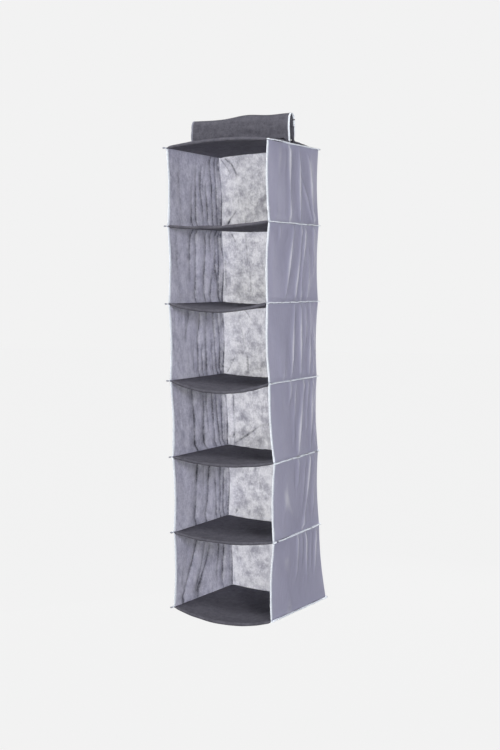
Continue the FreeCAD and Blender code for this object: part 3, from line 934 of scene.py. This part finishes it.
edge_tapes = []
for tier in range(1, len(LEVELS)):
    for side, word in ((-1, "left"), (1, "right")):
        up = np.linspace(0, 1, 72)
        x, y, z = wall_front(tier, side, up)
        seed = tier * 17 + side
        held = np.sin(math.pi * up) ** 0.3
        x = x + 0.0003 * ripple(seed, up, 0 * up, 0.5, 1.0) * held
        y = y + 0.0004 * ripple(seed + 3, up, 0 * up, 0.5, 1.0) * held
        twist = 0.12 * ripple(seed + 5, up, 0 * up, 0.4, 1.0)
        deep, thick = tape_section(EDGE_TAPE_WIDTH / 2, EDGE_TAPE_HALF)
        cos, sin = np.cos(twist)[:, None], np.sin(twist)[:, None]
        ring_x = x[:, None] + thick * cos - deep * sin
        ring_y = y[:, None] + EDGE_TAPE_WIDTH / 2 - 0.0008 + deep * cos + thick * sin
        ring = np.stack([ring_x, ring_y, np.repeat(z[:, None], RING, 1)], -1)
        piece = cloth_grid(f"tier_{tier}_{word}_edge_tape", ring, (2 * EDGE_TAPE_WIDTH, PITCH), closed=True)
        close_ends(piece, RING)
        rows = [(ring[:, 3], (1, 0, 0)), (ring[:, 13], (-1, 0, 0))]
        join_into(piece, [stitches("edge stitches", rows)])
        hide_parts(f"tier_{tier}_{word}_edge_binding")
        fold_flat(piece, tier)
        edge_tapes.append(piece)
finish_pieces(edge_tapes, tape)


# --- Hanging band: a strip of doubled dark cloth sewn flat on the top panel, up the front and over the rail.
# Its flap hangs down behind the rail and closes on a short leaf with hook and loop tape.
# The band isn't stretched tight: its top line waves over the rail, and its ends are bound with pale tape.

BAND_LOW, BAND_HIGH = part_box("hanging_band")
FLAP_LOW, FLAP_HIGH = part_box("closing_flap")
LEAF_LOW, LEAF_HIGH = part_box("anchor_leaf")
HOOK_LOW, HOOK_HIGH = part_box("hook_tape")
LOOP_LOW, LOOP_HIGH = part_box("loop_tape")
BAND_HALF_W = BAND_HIGH.x
BAND_HALF_CLOTH = (FLAP_HIGH.y - FLAP_LOW.y) / 2
HINGE_Y = FLAP_LOW.y + BAND_HALF_CLOTH
END_TAPE_HALF_WIDTH, END_TAPE_HALF = 0.0026, 0.0011
END_TAPE_CUT = 0.016          # the tape's width before it is folded
BAND_TAPE_LENGTH, FLAP_TAPE_LENGTH = 0.09, 0.045


def band_top(x):
    """How far the band's top stands above a tight band."""
    hump = 0.0065 * np.exp(-(((x - 0.015) / 0.05) ** 2))
    left = 0.0035 * np.exp(-(((x + 0.16) / 0.06) ** 2))
    return 0.0008 + hump + left + 0.0012 * np.exp(-(((x - 0.13) / 0.03) ** 2))


def sewn_height(x, y):
    """The middle of a strip that is sewn flat on the top panel."""
    to_side = HALF_W - np.abs(x)
    half = TONGUE_HALF + (COVER_HALF - TONGUE_HALF) * smoothstep(-0.001, 0.009, to_side)
    room = 0.0020 * smoothstep(0, 0.02, to_side) + top_hump(x, y) * smoothstep(0, 0.012, to_side)
    room = room + 0.0034 * smoothstep(0.022, 0.008, to_side)
    return level_height(0, x, y) + half + room + BAND_HALF_CLOTH


def band_line(x):
    """The band's middle surface in section, from the front of its flange up and over the rail."""
    flange = np.linspace(BAND_LOW.y, -HINGE_Y - 0.003, 8)
    rise = np.linspace(0.0, 1.0, 34)
    turn = np.radians(np.linspace(176, 6, 30))
    x = x[None, :]
    flange_y = np.repeat(flange[:, None], x.shape[1], 1)
    flange_z = sewn_height(x, flange_y)
    z = (sewn_height(x, flange_y[-1:]) + 0.0016) * (1 - rise[:, None])
    slack = 0.0016 * ripple(401, x, z, 0.09, 0.05) + 0.0022
    y = -HINGE_Y - slack * np.sin(math.pi * rise[:, None]) ** 0.8
    lift = band_top(x) * np.sin(turn)[:, None] ** 1.5
    over_y = HINGE_Y * np.cos(turn)[:, None] + 0 * x
    over_z = HINGE_Y * np.sin(turn)[:, None] + lift
    return np.concatenate([flange_y, y, over_y]), np.concatenate([flange_z, z, over_z])


def strip_cloth(name, x, y, z, size, thickness):
    """A strip of cloth across the width, from its section at each x."""
    points = np.stack([np.repeat(x[None, :], y.shape[0], 0), y, z], -1)
    return thicken(cloth_grid(name, points, size), thickness)


def end_tape(name, side, y, z, length, painted_tape_shade=0.0):
    """Pale tape folded over one end of a strip. painted_tape_shade, from 0 to 1, darkens its colour as
    painted shade.
    """
    path = np.stack([y, z], -1)
    ahead = np.gradient(path, axis=0)
    ahead /= np.linalg.norm(ahead, axis=1)[:, None]
    wide, thick = tape_section(END_TAPE_HALF_WIDTH, END_TAPE_HALF)
    x = side * (BAND_HALF_W - 0.0022) + wide[None] + 0 * y[:, None]
    ring_y = y[:, None] - ahead[:, 1:] * thick
    ring_z = z[:, None] + ahead[:, :1] * thick
    ring = np.stack([x, ring_y, ring_z], -1)
    shade = np.full(x.shape, painted_tape_shade)
    piece = cloth_grid(name, ring, (END_TAPE_CUT, length), {"painted_tape_shade": shade}, closed=True)
    close_ends(piece, RING)
    return piece


band_x = np.linspace(-BAND_HALF_W, BAND_HALF_W, 101)
band_y, band_z = band_line(band_x)
band = strip_cloth("hanging_band_cloth", band_x, band_y, band_z, (2 * BAND_HALF_W, 0.11), 2 * BAND_HALF_CLOTH)
flange_row = np.stack([band_x, band_y[4], band_z[4] + BAND_HALF_CLOTH], -1)[2:-2]
join_into(band, [stitches("band stitches", [(flange_row, (0, 0, 1))])])
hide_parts("hanging_band")
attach(band, "top")
band_ends = []
for side, column, word in ((-1, 0, "left"), (1, -1, "right")):
    # Painted shade: the left end tape is drawn much darker than the right one.
    painted_end_shade = 0.85 if side < 0 else 0.1
    name = f"band_{word}_end_tape"
    piece = end_tape(name, side, band_y[6:, column], band_z[6:, column], BAND_TAPE_LENGTH, painted_end_shade)
    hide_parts("band_end_bindings")
    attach(piece, "top")
    band_ends.append(piece)

leaf_upright = np.full(12, LEAF_LOW.y + BAND_HALF_CLOTH)
leaf_profile_y = np.concatenate([np.linspace(LEAF_HIGH.y, LEAF_LOW.y + 0.003, 8), leaf_upright])
leaf_y = np.repeat(leaf_profile_y[:, None], len(band_x), 1)
leaf_foot = sewn_height(band_x, leaf_y[:8])
leaf_rise = np.linspace(0, 1, 12)[:, None]
leaf_start = leaf_foot[-1] + 0.0016
leaf_z = np.concatenate([leaf_foot, leaf_start + (LEAF_HIGH.z - leaf_start) * leaf_rise])
leaf_z[-4:] += 0.0006 * ripple(431, band_x, 0 * band_x, 0.06, 1.0)
leaf = strip_cloth("rear_leaf_cloth", band_x, leaf_y, leaf_z, (2 * BAND_HALF_W, 0.05), 2 * BAND_HALF_CLOTH)
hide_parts("anchor_leaf")
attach(leaf, "top")

flap_turn = np.radians(np.linspace(70, 0, 6))
flap_bend = HINGE_Y - 0.0005 + 0.0008 * np.cos(flap_turn)
flap_profile_y = np.concatenate([flap_bend, np.full(24, HINGE_Y + 0.0003)])
flap_profile_z = np.concatenate([0.0008 * np.sin(flap_turn), np.linspace(-0.002, FLAP_LOW.z, 24)])
flap_y = np.repeat(flap_profile_y[:, None], len(band_x), 1)
flap_z = np.repeat(flap_profile_z[:, None], len(band_x), 1)
flap_slack = 0.0003 * (1 + ripple(441, band_x[None], flap_z[6:], 0.08, 0.06))
flap_y[6:] += flap_slack * smoothstep(0.0, 0.012, -flap_z[6:])
flap_size = (2 * BAND_HALF_W, 0.046)
flap = strip_cloth("closing_flap_cloth", band_x, flap_y, flap_z, flap_size, 2 * BAND_HALF_CLOTH)
tape_rows = [np.argmin(np.abs(flap_profile_z - z)) for z in (HOOK_HIGH.z - 0.0015, HOOK_LOW.z + 0.0015)]
outside = np.stack([np.broadcast_to(band_x, flap_y.shape), flap_y + BAND_HALF_CLOTH, flap_z], -1)
seams = [(outside[row][2:-2], (0, 1, 0)) for row in tape_rows]
join_into(flap, [stitches("flap stitches", seams)])
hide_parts("closing_flap")
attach(flap, "flap")
flap_ends = []
for side, column, word in ((-1, 0, "left"), (1, -1, "right")):
    piece = end_tape(f"flap_{word}_end_tape", side, flap_y[6:, column], flap_z[6:, column], FLAP_TAPE_LENGTH)
    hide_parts("flap_end_bindings")
    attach(piece, "flap")
    flap_ends.append(piece)
finish_pieces([band, leaf, flap], dark_cloth)
finish_pieces(band_ends + flap_ends, tape)


# --- Fastening: a strip of hook tape sewn inside the flap, and a strip of loop tape on the leaf.
# Each is a woven nylon backing, the hooks standing in rows and the loops as a close pile.
# The hooks swing away with the flap, and the loops stay on the leaf.

BACKING = 0.0006
HOOK_PITCH, LOOP_PITCH = 0.0018, 0.0021
WIRE = 0.00013


def fastening_tape(name, low, high, outward, pitch, open_share):
    """A backing strip with rows of small arcs. open_share is how much of each arc is cut off."""
    bpy.ops.object.select_all(action="DESELECT")
    back_y = high.y if outward < 0 else low.y
    middle_y = back_y + outward * BACKING / 2
    bpy.ops.mesh.primitive_cube_add(size=1, location=(0, middle_y, (low.z + high.z) / 2))
    strip = bpy.context.object
    strip.name = name
    strip.scale = (high.x - low.x, BACKING, high.z - low.z)
    bpy.ops.object.transform_apply(location=True, rotation=True, scale=True)
    edge = strip.modifiers.new("woven edge", "BEVEL")
    edge.width = BACKING * 0.4
    edge.segments = 2
    bpy.ops.object.modifier_apply(modifier=edge.name)
    arc_size = (high.y - low.y) - BACKING - WIRE
    root_y = back_y + outward * BACKING * 0.9
    start = (low.x + 2 * pitch, root_y, low.z + 1.5 * pitch)
    bpy.ops.mesh.primitive_torus_add(
        location=start, rotation=(0, 0, 0), major_radius=arc_size, minor_radius=WIRE,
        major_segments=10, minor_segments=4,
    )
    arc = bpy.context.object
    bpy.ops.object.transform_apply(location=True, rotation=True, scale=True)
    bpy.ops.object.mode_set(mode="EDIT")
    bpy.ops.mesh.select_all(action="SELECT")
    bpy.ops.mesh.bisect(plane_co=start, plane_no=(0, outward, 0), clear_inner=True, use_fill=True)
    bpy.ops.mesh.select_all(action="SELECT")
    tip = (start[0] + arc_size * (1 - 2 * open_share), start[1], start[2])
    bpy.ops.mesh.bisect(plane_co=tip, plane_no=(1, 0, 0), clear_outer=True, use_fill=True)
    bpy.ops.object.mode_set(mode="OBJECT")
    for axis, span in ((0, high.x - low.x - 4 * pitch), (2, high.z - low.z - 3 * pitch)):
        rows = arc.modifiers.new("rows", "ARRAY")
        rows.use_relative_offset = False
        rows.use_constant_offset = True
        rows.constant_offset_displace = [pitch if axis == k else 0 for k in range(3)]
        rows.count = int(span / pitch) + 1
        bpy.ops.object.modifier_apply(modifier=rows.name)
    return join_into(strip, [arc])


hooks = fastening_tape("flap_hook_strip", HOOK_LOW, HOOK_HIGH, -1, HOOK_PITCH, 0.2)
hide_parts("hook_tape")
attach(hooks, "flap")
loops = fastening_tape("leaf_loop_strip", LOOP_LOW, LOOP_HIGH, 1, LOOP_PITCH, 0.0)
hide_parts("loop_tape")
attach(loops, "top")

nylon, tree, shader, node = new_material("woven_nylon_tape")
place = node("ShaderNodeTexCoord").outputs["Object"]
weave = node("ShaderNodeTexWave", Scale=420.0, Distortion=0.6, Detail=2.0)
weave.bands_direction = "X"
tree.links.new(place, weave.inputs["Vector"])
lint = node("ShaderNodeTexNoise", Scale=900.0, Detail=3.0)
tree.links.new(place, lint.inputs["Vector"])
shade = ramp(tree, lint.outputs["Fac"], [(0.3, (0.030, 0.030, 0.036)), (0.7, (0.062, 0.062, 0.072))])
tree.links.new(shade, shader.inputs["Base Color"])
shader.inputs["Roughness"].default_value = 0.55
press_in(tree, shader, weave.outputs["Fac"], 0.35, 0.0001)
finish_pieces([hooks, loops], nylon)


# --- Stage: a plain pale floor far below, as for a thing that hangs from a rail, and a pale surround.

PALE = (0.888, 0.888, 0.888, 1)
bpy.ops.mesh.primitive_plane_add(size=40, location=(0, 0, -1.75))
floor = bpy.context.object
floor.name = "floor"
floor_look, tree, shader, node = new_material("pale_floor")
shader.inputs["Base Color"].default_value = PALE
shader.inputs["Roughness"].default_value = 0.9
seen = node("ShaderNodeLightPath").outputs["Is Camera Ray"]
strength = node("ShaderNodeMapRange")
strength.inputs["To Min"].default_value = 0.32
tree.links.new(seen, strength.inputs["Value"])
even = node("ShaderNodeEmission", Color=PALE)
tree.links.new(strength.outputs["Result"], even.inputs["Strength"])
both = node("ShaderNodeMixShader", Fac=0.995)
tree.links.new(shader.outputs["BSDF"], both.inputs[1])
tree.links.new(even.outputs["Emission"], both.inputs[2])
tree.links.new(both.outputs["Shader"], tree.nodes["Material Output"].inputs["Surface"])
finish_pieces([floor], floor_look)

world = bpy.data.worlds.new("studio")
bpy.context.scene.world = world
world.use_nodes = True
tree = world.node_tree
tree.nodes.clear()
direction = tree.nodes.new("ShaderNodeTexCoord").outputs["Generated"]
split = tree.nodes.new("ShaderNodeSeparateXYZ")
tree.links.new(direction, split.inputs["Vector"])
rear = tree.nodes.new("ShaderNodeMapRange")
rear.inputs["From Min"].default_value = -0.2
rear.inputs["From Max"].default_value = 0.8
rear.inputs["To Min"].default_value = 0.16
rear.inputs["To Max"].default_value = 0.5
tree.links.new(split.outputs["Y"], rear.inputs["Value"])
soft = tree.nodes.new("ShaderNodeBackground")
tree.links.new(rear.outputs["Result"], soft.inputs["Strength"])
shown = tree.nodes.new("ShaderNodeBackground")
shown.inputs["Color"].default_value = PALE
path = tree.nodes.new("ShaderNodeLightPath")
pick = tree.nodes.new("ShaderNodeMixShader")
tree.links.new(path.outputs["Is Camera Ray"], pick.inputs["Fac"])
tree.links.new(soft.outputs["Background"], pick.inputs[1])
tree.links.new(shown.outputs["Background"], pick.inputs[2])
out = tree.nodes.new("ShaderNodeOutputWorld")
tree.links.new(pick.outputs["Shader"], out.inputs["Surface"])


def softbox(name, place, aim, size, watts):
    """A square studio light that points at a place and isn't seen itself."""
    bpy.ops.object.light_add(type="AREA", location=place)
    lamp = bpy.context.object
    lamp.name = name
    lamp.data.size = size
    lamp.data.energy = watts
    lamp.rotation_euler = (Vector(aim) - Vector(place)).to_track_quat("-Z", "Y").to_euler()
    lamp.visible_camera = False
    return lamp


softbox("key", (2.3, -2.2, -0.1), (0, 0, -0.75), 0.6, 60)
softbox("rake", (1.0, -2.4, -1.3), (0, 0, -0.8), 0.8, 20)
softbox("backlight", (-0.1, 2.6, -0.5), (0, 0, -0.65), 1.5, 100)
softbox("left backlight", (-1.6, 1.2, -1.5), (0, 0, -0.95), 1.0, 9)
softbox("front top light", (-0.5, -1.3, 1.7), (0, -0.1, -0.8), 0.9, 42)

bpy.ops.object.camera_add(location=(1.604, -2.748, -0.443))
camera = bpy.context.object
turn = Matrix.Rotation(math.radians(30.08), 4, "Z")
tilt = Matrix.Rotation(math.radians(90 - 4.01), 4, "X")
roll = Matrix.Rotation(math.radians(-0.88), 4, "Z")
camera.rotation_euler = (turn @ tilt @ roll).to_euler()
camera.data.lens = 57.1
camera.data.sensor_width = 36
bpy.context.scene.camera = camera
bpy.context.scene.view_settings.view_transform = "Standard"
